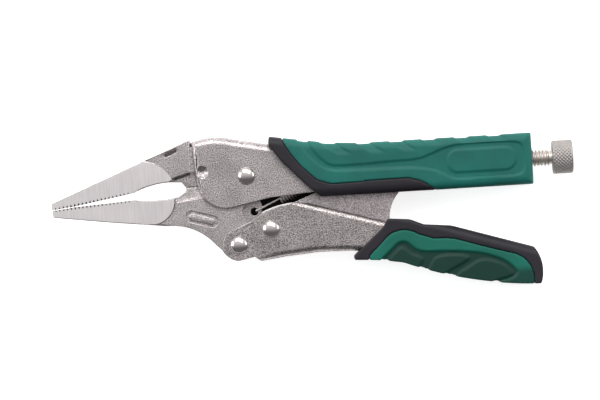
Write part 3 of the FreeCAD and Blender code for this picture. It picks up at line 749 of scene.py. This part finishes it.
class PLIERS_OT_steelwork(bpy.types.Operator):
    """Break the sheet edges of the channels and toggle link, give them their blasted nickel and paint shade
    inside the upper channel
    """

    bl_idname = "pliers.steelwork"
    bl_label = "Channels and link"

    def execute(self, context):
        settings = context.scene.pliers_metal
        sheet = blasted_nickel("blasted_nickel_sheet", settings.blasted_colour, linear("#7F7977"), settings)
        coarse = blasted_nickel(
            "coarse_blasted_nickel_sheet", settings.coarse_colour, linear("#746E6C"), settings
        )
        dull = blasted_nickel("blasted_nickel_link", linear("#CDC3C5"), linear("#8A8281"), settings)
        # Painted shade: near-black for the inside of the upper channel's far wall.
        channel_interior_shade = painted_shade_steel("channel_interior_painted_shade", linear("#1A1716"), linear("#2C2827"))
        for node, body, finish in (
            ("upper_handle", "upper_handle_assembly", sheet),
            ("lower_handle", "lower_handle_assembly", coarse),
            ("toggle_link", "toggle_link_body", dull),
        ):
            pressing = eased_copy(
                node + "_pressing", node, [(settings.sheet_edge, lambda x, y, z: x < GRIP_FRONT)],
                finish, body,
            )
            if node != "upper_handle":
                continue
            # Painted shade: the far wall's inside faces behind the spring take the near-black, standing in
            # for the shadow inside the channel.
            pressing.data.materials.append(channel_interior_shade)
            for face in pressing.data.polygons:
                x, y, z = in_mm(np.array(face.center))
                if face.normal.z > 0.9 and -6.0 < z < -4.0 and -20.0 < y < 10.0:
                    face.material_index = 1
        return {"FINISHED"}


class PLIERS_OT_jaws(bpy.types.Operator):
    """Break the jaws' edges and grind their nose pads"""

    bl_idname = "pliers.jaws"
    bl_label = "Jaws"

    def execute(self, context):
        settings = context.scene.pliers_metal
        forged = blasted_nickel(
            "blasted_nickel_forging", settings.blasted_colour, linear("#8F8987"), settings
        )
        ground = ground_nickel("belt_ground_nickel", settings.ground_colour, linear("#E8E2E1"))
        for node, body in (("upper_jaw", "upper_handle_assembly"), ("lower_jaw", "lower_jaw_body")):
            jaw = eased_copy(
                node + "_forging", node,
                [(0.9 * MM, self.on_the_cutter_step), (settings.jaw_edge, self.plain_edge)],
                forged, body,
            )
            jaw.data.materials.append(ground)
            for face in jaw.data.polygons:
                x, y, z = in_mm(np.array(face.center))
                on_pad = abs(abs(z) - pad_half(x)) < 0.12
                if abs(face.normal.z) > 0.97 and x < -31.0 and on_pad:
                    face.material_index = 1
        return {"FINISHED"}

    @staticmethod
    def on_the_cutter_step(x, y, z):
        return -32.3 < x < -22.0 and 0.3 < y < 4.2 and abs(z) > 4.5

    @staticmethod
    def plain_edge(x, y, z):
        middle = -10.0 + (x + 85.6) * 0.11
        toothed = x < -49.0 and abs(y - middle) < 2.2 + (x + 85.6) * 0.02
        cutter_step = -32.8 < x < -21.5 and 0.0 < y < 4.2
        return not toothed and not cutter_step


def slot_plate(start, end, radius, low, high, ease_width):
    """A round-ended plate along a line in the plane of the tool, from one height to another."""
    bm = bmesh.new()
    bmesh.ops.create_circle(bm, cap_ends=True, segments=32, radius=radius * MM)
    run = Vector((end[0] - start[0], end[1] - start[1], 0.0)) * MM
    turn = Matrix.Rotation(run.to_2d().angle_signed(Vector((1.0, 0.0))), 4, "Z")
    for vert in bm.verts:
        if vert.co.x > 0.0:
            vert.co.x += run.length
    bmesh.ops.transform(bm, matrix=Matrix.Translation(at(*start, low)) @ turn, verts=bm.verts)
    top = bmesh.ops.extrude_face_region(bm, geom=bm.faces[:])
    raised = [part for part in top["geom"] if isinstance(part, bmesh.types.BMVert)]
    bmesh.ops.translate(bm, verts=raised, vec=(0.0, 0.0, (high - low) * MM))
    bmesh.ops.recalc_face_normals(bm, faces=bm.faces)
    outer = high if abs(high) > abs(low) else low
    rim = [
        e for e in bm.edges
        if abs(e.calc_face_angle(0.0)) > 1.0
        and all(abs(v.co.z - JAW_PIVOT.z - outer * MM) < 1e-6 for v in e.verts)
    ]
    bmesh.ops.bevel(
        bm, geom=rim, offset=ease_width * MM, offset_type="OFFSET", segments=3, profile=0.5,
        affect="EDGES", clamp_overlap=True, material=-1,
    )
    return bm


def tooth_root(edge, inward, thickness):
    """A bar just inside a mouth edge, given front to back, that closes the bottoms of the notches and carries
    their painted shade.
    """
    bm = bmesh.new()
    cover, depth = 0.07, 1.3
    corners = [(x, y + inward * cover) for x, y in edge]
    corners += [(x, y + inward * depth) for x, y in (edge[-1], edge[0])]
    face = bm.faces.new([bm.verts.new(at(x, y, -thickness)) for x, y in corners])
    top = bmesh.ops.extrude_face_region(bm, geom=[face])
    raised = [part for part in top["geom"] if isinstance(part, bmesh.types.BMVert)]
    bmesh.ops.translate(bm, verts=raised, vec=(0.0, 0.0, 2 * thickness * MM))
    bmesh.ops.recalc_face_normals(bm, faces=bm.faces)
    bmesh.ops.bevel(
        bm, geom=bm.edges[:], offset=0.1 * MM, offset_type="OFFSET", segments=1, profile=0.5,
        affect="EDGES", clamp_overlap=True, material=-1,
    )
    return bm


UPPER_TOOTH_LINE = ((-85.2, -9.8), (-75.7, -8.8), (-50.6, -4.7))
LOWER_TOOTH_LINE = ((-85.2, -10.05), (-75.7, -9.0), (-50.6, -7.65))


class PLIERS_OT_jaw_details(bpy.types.Operator):
    """Add the painted shade in the tooth notches, on the short slot's floor and along the cutter step, and
    the raised pad in the oval
    """

    bl_idname = "pliers.jaw_details"
    bl_label = "Jaw details"

    def execute(self, context):
        # Painted shade: near-black for the bottoms of the tooth notches.
        root = painted_shade_steel("tooth_notch_painted_shade", linear("#0D0B0B"), linear("#221F1E"))
        # Painted shade: grey-black for the short slot's floor and the cutter step.
        recess = painted_shade_steel("recess_painted_shade", linear("#3A3433"), linear("#5C5451"))
        forged = bpy.data.materials["blasted_nickel_forging"]
        # Painted shade: dark bars behind the teeth stand in for the shadow at the bottoms of the notches.
        new_piece(
            "upper_tooth_notch_shade", tooth_root(UPPER_TOOTH_LINE, 1, 2.7), root,
            "upper_handle_assembly",
        )
        new_piece(
            "lower_tooth_notch_shade", tooth_root(LOWER_TOOTH_LINE, -1, 2.7), root,
            "lower_jaw_body",
        )
        for side, letter in ((1, "near"), (-1, "far")):
            # Painted shade: dark plates on the short slot's floor and in the cutter step stand in for their
            # shadows.
            slot_floor = slot_plate((-34.6, 11.03), (-30.4, 12.77), 0.62, side * 4.0, side * 4.2, 0.02)
            new_piece(
                "short_slot_painted_shade_" + letter, slot_floor, recess,
                "upper_handle_assembly",
            )
            groove = slot_plate((-31.2, 0.35), (-24.9, 2.15), 0.4, side * 3.3, side * 3.9, 0.05)
            new_piece("cutter_step_painted_shadow_" + letter, groove, recess, "upper_handle_assembly")
            pad = slot_plate((-24.6, -16.42), (-16.4, -18.88), 1.55, side * 3.9, side * 4.62, 0.3)
            raised = new_piece("oval_pad_" + letter, pad, forged, "lower_jaw_body")
            soften(raised, math.radians(50))
        return {"FINISHED"}


DOME_HEIGHT = 1.9
DOME_STEPS = 10
RIVETS = (
    ("jaw_rivet", "upper_handle_assembly"),
    ("handle_rivet", "lower_handle_assembly"),
    ("link_rivet", "lower_handle_assembly"),
)


class PLIERS_OT_rivets(bpy.types.Operator):
    """Turn the three domed rivets"""

    bl_idname = "pliers.rivets"
    bl_label = "Rivets"

    def execute(self, context):
        bright = polished_steel("tumbled_bright_rivet_steel", context.scene.pliers_metal.rivet_colour, 0.16)
        for node, body in RIVETS:
            low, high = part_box(node)
            centre = (low + high) / 2
            head = (high.x - low.x) / 2 / MM
            half = (high.z - low.z) / 2 / MM
            profile = [(-half, 0.0)]
            for i in range(1, DOME_STEPS + 1):
                swing = math.pi / 2 * i / DOME_STEPS
                profile.append((-half + DOME_HEIGHT * (1 - math.cos(swing)), head * math.sin(swing)))
            shank = head * 0.67
            profile += [(-half + DOME_HEIGHT + 0.02, shank), (half - DOME_HEIGHT - 0.02, shank)]
            for i in range(DOME_STEPS, 0, -1):
                swing = math.pi / 2 * i / DOME_STEPS
                profile.append((half - DOME_HEIGHT * (1 - math.cos(swing)), head * math.sin(swing)))
            profile.append((half, 0.0))
            piece = new_piece(
                node + "_domed", turned(profile, centre, AXIS_Z, 64), bright, body, (node,)
            )
            soften(piece, math.radians(40))
        return {"FINISHED"}


def threaded_rod(start, length, radius, pitch, depth, steps):
    """A rod with one helical thread along X, cut square at both ends."""
    bm = bmesh.new()
    root = radius - depth
    first = start - AXIS_X * pitch
    shape = ((0.0, root), (0.12, root), (0.44, radius), (0.60, radius), (0.92, root), (1.0, root))
    side = Vector((0.0, 1.0, 0.0))
    chain = [bm.verts.new(first + AXIS_X * pitch * along + side * r) for along, r in shape]
    edges = [bm.edges.new(pair) for pair in zip(chain, chain[1:])]
    turns = math.ceil(length / pitch) + 2
    bmesh.ops.spin(
        bm, geom=chain + edges, cent=start, axis=AXIS_X, dvec=AXIS_X * pitch / steps,
        angle=FULL_TURN * turns, steps=steps * turns,
    )
    bmesh.ops.remove_doubles(bm, verts=bm.verts, dist=0.002 * MM)
    for place, outward in ((start, -AXIS_X), (start + AXIS_X * length, AXIS_X)):
        bmesh.ops.bisect_plane(
            bm, geom=bm.verts[:] + bm.edges[:] + bm.faces[:], plane_co=place, plane_no=outward,
            clear_outer=True,
        )
        rim = [e for e in bm.edges if e.is_boundary and abs((e.verts[0].co - place).dot(outward)) < 1e-7]
        bmesh.ops.contextual_create(bm, geom=rim)
    bmesh.ops.recalc_face_normals(bm, faces=bm.faces)
    return bm


class PLIERS_OT_adjusting_screw(bpy.types.Operator):
    """Cut the adjusting screw with its helical thread, plain tip and neck"""

    bl_idname = "pliers.adjusting_screw"
    bl_label = "Adjusting screw"

    def execute(self, context):
        settings = context.scene.pliers_screw
        plated = polished_steel("plated_screw_steel", settings.screw_colour, 0.42)
        low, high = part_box("adjusting_screw")
        radius = (high.z - low.z) / 2
        tip = Vector((low.x, JAW_PIVOT.y, JAW_PIVOT.z))
        knob_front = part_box("screw_knob")[0].x
        neck = 1.4 * MM
        tip_length = 3.0 * MM
        thread_start = tip + AXIS_X * tip_length
        thread = threaded_rod(
            thread_start, knob_front - neck - thread_start.x, radius,
            settings.thread_pitch, settings.thread_depth, 28,
        )
        cut = new_piece(
            "adjusting_screw_thread", thread, plated, "screw_body", ("adjusting_screw",)
        )
        soften(cut, math.radians(35))
        r = radius / MM
        nose = turned(
            [(0.0, 0.0), (0.0, r - 1.4), (0.35, r - 1.0), (tip_length / MM, r - 0.8),
             (tip_length / MM + 0.1, 0.0)],
            tip, AXIS_X, 48,
        )
        neck_turning = turned(
            [(-0.1, 0.0), (-0.1, r - 0.7), (neck / MM, r - 0.7), (neck / MM + 0.02, r - 1.2),
             (neck / MM + 7.3, r - 1.2), (neck / MM + 7.3, 0.0)],
            Vector((knob_front - neck, JAW_PIVOT.y, JAW_PIVOT.z)), AXIS_X, 48,
        )
        for name, bm in (("adjusting_screw_tip", nose), ("adjusting_screw_neck", neck_turning)):
            soften(new_piece(name, bm, plated, "screw_body"), math.radians(35))
        return {"FINISHED"}


class PLIERS_OT_knob(bpy.types.Operator):
    """Turn and knurl the adjusting knob"""

    bl_idname = "pliers.knob"
    bl_label = "Knurled knob"

    def execute(self, context):
        settings = context.scene.pliers_screw
        plated = polished_steel("plated_knob_steel", settings.knob_colour, 0.5)
        low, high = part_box("screw_knob")
        length = (high.x - low.x) / MM
        radius = (high.z - low.z) / 2 / MM
        edge, rows, bore = 0.9, 52, 2.6
        front = Vector((low.x, JAW_PIVOT.y, JAW_PIVOT.z))
        profile = [(7.5, 0.0), (7.5, bore), (0.0, bore), (0.0, radius - edge - 0.3)]
        for i in range(1, 5):
            swing = math.pi / 2 * i / 4
            profile.append((edge * (1 - math.cos(swing)), radius - edge + edge * math.sin(swing)))
        profile += [(edge + (length - 2 * edge) * i / rows, radius) for i in range(1, rows)]
        for i in range(0, 5):
            swing = math.pi / 2 * (1 - i / 4)
            profile.append((length - edge * (1 - math.cos(swing)), radius - edge + edge * math.sin(swing)))
        profile += [(length, radius - 1.6), (length - 0.35, radius - 2.0), (length - 0.35, 0.0)]
        bm = turned(profile, front, AXIS_X, settings.knurl_starts * 8)
        lead = radius * FULL_TURN / settings.knurl_starts
        for vert in bm.verts:
            along = (vert.co.x - low.x) / MM
            out = Vector((0.0, vert.co.y - front.y, vert.co.z - front.z))
            if out.length / MM < radius - edge or along < 0.2 or along > length - 0.2:
                continue
            turn = math.atan2(out.z, out.y) / FULL_TURN * settings.knurl_starts
            ridge = min(
                1.0 - abs(2.0 * ((turn + hand * along / lead) % 1.0) - 1.0) for hand in (1, -1)
            )
            fade = min(1.0, (along - 0.2) / 0.5, (length - 0.2 - along) / 0.5)
            cut = settings.knurl_depth * (1.0 - ridge) * fade
            vert.co -= out.normalized() * cut
        piece = new_piece("knurled_knob", bm, plated, "knob_body", ("screw_knob",))
        soften(piece, math.radians(60))
        return {"FINISHED"}


class PLIERS_OT_return_spring(bpy.types.Operator):
    """Copy the return spring's wire from the frame and shade it smoothly"""

    bl_idname = "pliers.return_spring"
    bl_label = "Return spring"

    def execute(self, context):
        wire = polished_steel("drawn_spring_wire", linear("#E6E0DA"), 0.34)
        bm = merged_copy("return_spring")
        piece = new_piece("return_spring_wire", bm, wire, None, ("return_spring",))
        piece.data.shade_smooth()
        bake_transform(piece)
        return {"FINISHED"}


# ---------------------------------------------------------------- stage


class PLIERS_OT_stage(bpy.types.Operator):
    """Lay the pale floor and set the soft lights and the camera"""

    bl_idname = "pliers.stage"
    bl_label = "Stage"

    def execute(self, context):
        scene = context.scene
        scene.view_settings.view_transform = "Standard"
        world = bpy.data.worlds.new("pale_room")
        scene.world = world
        world.use_nodes = True
        sky = world.node_tree
        direction = add(sky, "ShaderNodeTexCoord").outputs["Generated"]
        parts = add(sky, "ShaderNodeSeparateXYZ", inputs={"Vector": direction})
        glow = add(
            sky,
            "ShaderNodeMapRange",
            {"interpolation_type": "SMOOTHSTEP"},
            {"Value": parts.outputs["Y"], "From Min": -0.45, "From Max": 0.3, "To Min": 0.18, "To Max": 0.92},
        )
        room = sky.nodes["Background"]
        room.inputs["Color"].default_value = linear("#F4F4F6")
        sky.links.new(glow.outputs["Result"], room.inputs["Strength"])
        bm = bmesh.new()
        bmesh.ops.create_grid(bm, x_segments=8, y_segments=8, size=1.5)
        bmesh.ops.translate(bm, verts=bm.verts, vec=(0.0, 0.0, cad_box[0].z - 0.05 * MM))
        mesh = bpy.data.meshes.new("pale_floor")
        bm.to_mesh(mesh)
        bm.free()
        floor = bpy.data.objects.new("pale_floor", mesh)
        scene.collection.objects.link(floor)
        finish, tree, _ = new_finish("pale_matt_board")
        shader = add(
            tree,
            "ShaderNodeBsdfPrincipled",
            inputs={
                "Base Color": linear("#F0F0F0"),
                "Roughness": 0.9,
                "Emission Color": linear("#FFFFFF"),
                "Emission Strength": 0.75,
            },
        )
        close_finish(tree, shader)
        dress(floor, finish)
        aim = at(22.65, -11.9)
        for name, place, size, power in (
            ("key_softbox", (-0.2, 0.8, 0.75), 0.6, 6.0),
            ("overhead_softbox", (0.35, 0.75, 1.1), 0.7, 4.5),
            ("left_softbox", (-0.9, 0.2, 0.45), 0.6, 3.6),
            ("right_softbox", (0.9, 0.2, 0.35), 0.5, 1.6),
        ):
            lamp = bpy.data.lights.new(name, "AREA")
            lamp.energy = power
            lamp.size = size
            holder = bpy.data.objects.new(name, lamp)
            holder.location = aim + Vector(place)
            holder.rotation_euler = (-Vector(place)).to_track_quat("-Z", "Y").to_euler()
            scene.collection.objects.link(holder)
        view_width = 262.2 * MM
        distance = 1.8
        lens = bpy.data.cameras.new("product_camera")
        lens.lens = lens.sensor_width * distance / view_width
        lens.clip_start, lens.clip_end = 0.1, 20.0
        camera = bpy.data.objects.new("product_camera", lens)
        camera.location = aim + AXIS_Z * distance
        camera.rotation_euler = (0.0, 0.0, math.radians(-3.5))
        scene.collection.objects.link(camera)
        scene.camera = camera
        return {"FINISHED"}


# ---------------------------------------------------------------- add-on


class PLIERS_PT_panel(bpy.types.Panel):
    """Settings and steps of the locking pliers"""

    bl_label = "Locking pliers"
    bl_idname = "PLIERS_PT_panel"
    bl_space_type = "VIEW_3D"
    bl_region_type = "UI"
    bl_category = "Pliers"

    def draw(self, context):
        for group in SETTINGS:
            settings = getattr(context.scene, group)
            for name in settings.__annotations__:
                self.layout.prop(settings, name)
        for step in STEPS:
            self.layout.operator(step.bl_idname)


SETTINGS = {"pliers_metal": MetalSettings, "pliers_grips": GripSettings, "pliers_screw": ScrewSettings}
STEPS = (
    PLIERS_OT_stage,
    PLIERS_OT_steelwork,
    PLIERS_OT_jaws,
    PLIERS_OT_jaw_details,
    PLIERS_OT_rivets,
    PLIERS_OT_adjusting_screw,
    PLIERS_OT_knob,
    PLIERS_OT_return_spring,
    PLIERS_OT_upper_grip,
    PLIERS_OT_lower_grip,
)


def register():
    for made in (*SETTINGS.values(), *STEPS, PLIERS_PT_panel):
        bpy.utils.register_class(made)
    for name, group in SETTINGS.items():
        setattr(bpy.types.Scene, name, bpy.props.PointerProperty(type=group))


def unregister():
    for name in SETTINGS:
        delattr(bpy.types.Scene, name)
    for made in (PLIERS_PT_panel, *reversed(STEPS), *SETTINGS.values()):
        bpy.utils.unregister_class(made)


def main():
    register()
    for step in STEPS:
        group, name = step.bl_idname.split(".")
        getattr(getattr(bpy.ops, group), name)()


if __name__ == "__main__":
    main()
